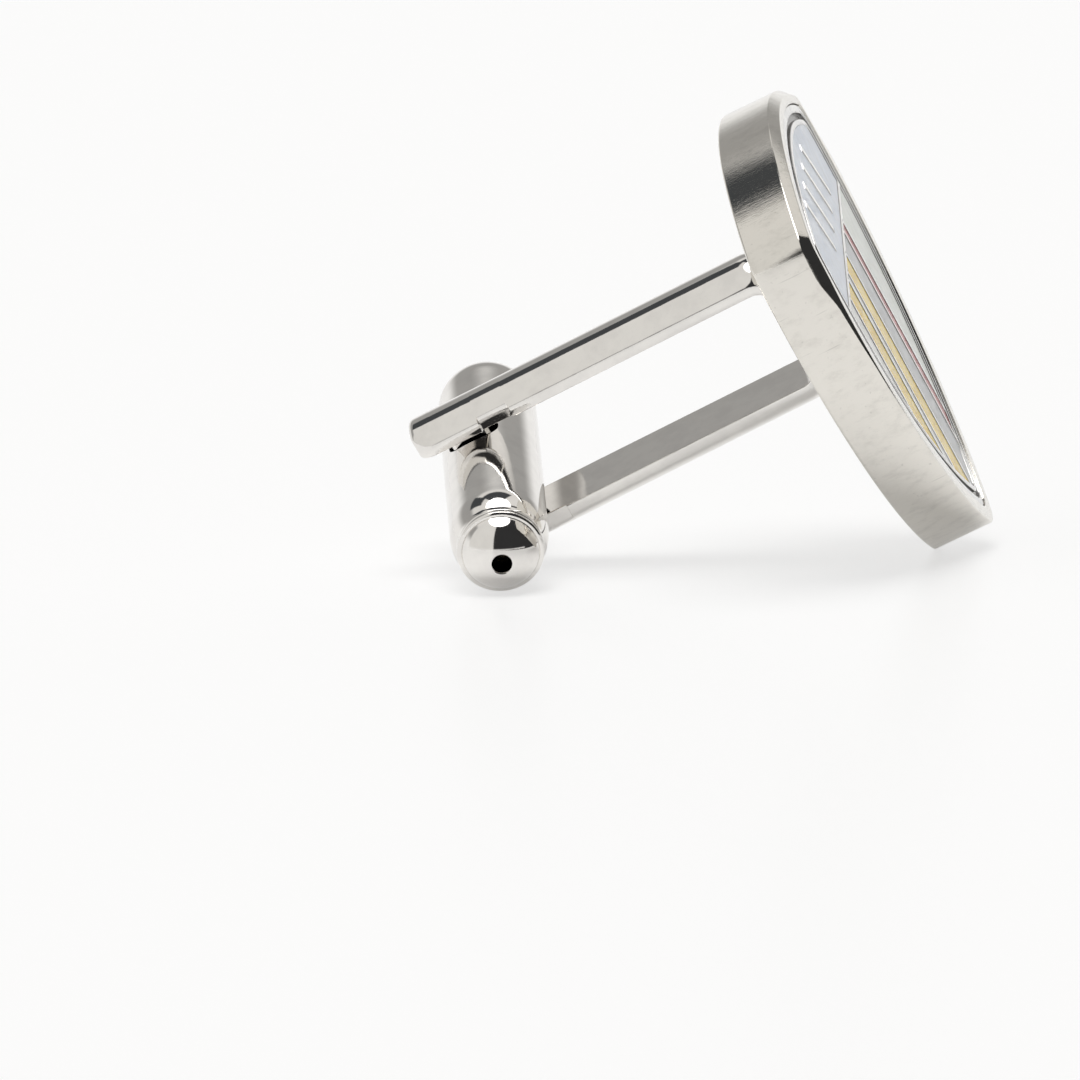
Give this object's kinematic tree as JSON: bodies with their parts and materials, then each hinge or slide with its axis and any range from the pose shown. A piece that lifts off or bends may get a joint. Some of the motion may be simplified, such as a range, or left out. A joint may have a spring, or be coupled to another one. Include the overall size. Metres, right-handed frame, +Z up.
{
  "type": "cufflink",
  "caption": "Cufflink with a shield-shaped enamelled head on a forked shank and a spring-detent bullet toggle that swivels between the fork's arms.",
  "frame": {"origin": "centre of the bounding box's footprint, on the table that the link lies on", "axes": "+X from the toggle to the head, +Z up, +Y away from the picture's camera along the table"},
  "size_m": [0.024, 0.0194, 0.0191],
  "materials": {
    "plated_satin": "satin silver-tone plate, finely brushed",
    "plated_struck": "struck and polished silver-tone plate",
    "plated_polished": "polished silver-tone plate",
    "solder": "dull solder under plate",
    "plunger_brass": "turned brass",
    "spring_steel": "drawn flat-sided wire",
    "enamel_blue": "soft enamel, glossy",
    "enamel_pale": "soft enamel, glossy",
    "enamel_yellow": "soft enamel, glossy",
    "enamel_white": "soft enamel, glossy",
    "enamel_grey": "soft enamel, glossy",
    "enamel_red": "soft enamel, glossy"
  },
  "bodies": {
    "head": {"head_case": "plated_satin", "badge_plate": "plated_struck", "enamel_chief": "enamel_blue", "enamel_pale_near": "enamel_pale", "enamel_yellow_near": "enamel_yellow", "enamel_white": "enamel_white", "enamel_yellow_far": "enamel_yellow", "enamel_grey": "enamel_grey", "enamel_red": "enamel_red", "enamel_pale_far": "enamel_pale", "shank_fork": "plated_polished", "solder_bed": "solder", "pivot_stud_upper": "plated_polished", "pivot_stud_lower": "plated_polished"},
    "toggle": {"toggle_barrel": "plated_polished", "end_plug": "plated_polished", "detent_spring": "spring_steel"},
    "plunger": {"detent_plunger": "plunger_brass"}
  },
  "joints": [
    {"name": "toggle_swivel", "type": "hinge", "parent": "head", "child": "toggle", "pos_m": [-0.00847, 0.00207, 0.00403], "axis": [-0.449, -0.2612, 0.8545], "range_deg": [-90, 90]},
    {"name": "plunger_slide", "type": "slide", "parent": "toggle", "child": "plunger", "axis": [0, 0.9563, 0.2923], "range_m": [0, 0.00024], "deforming": ["detent_spring"]}
  ]
}
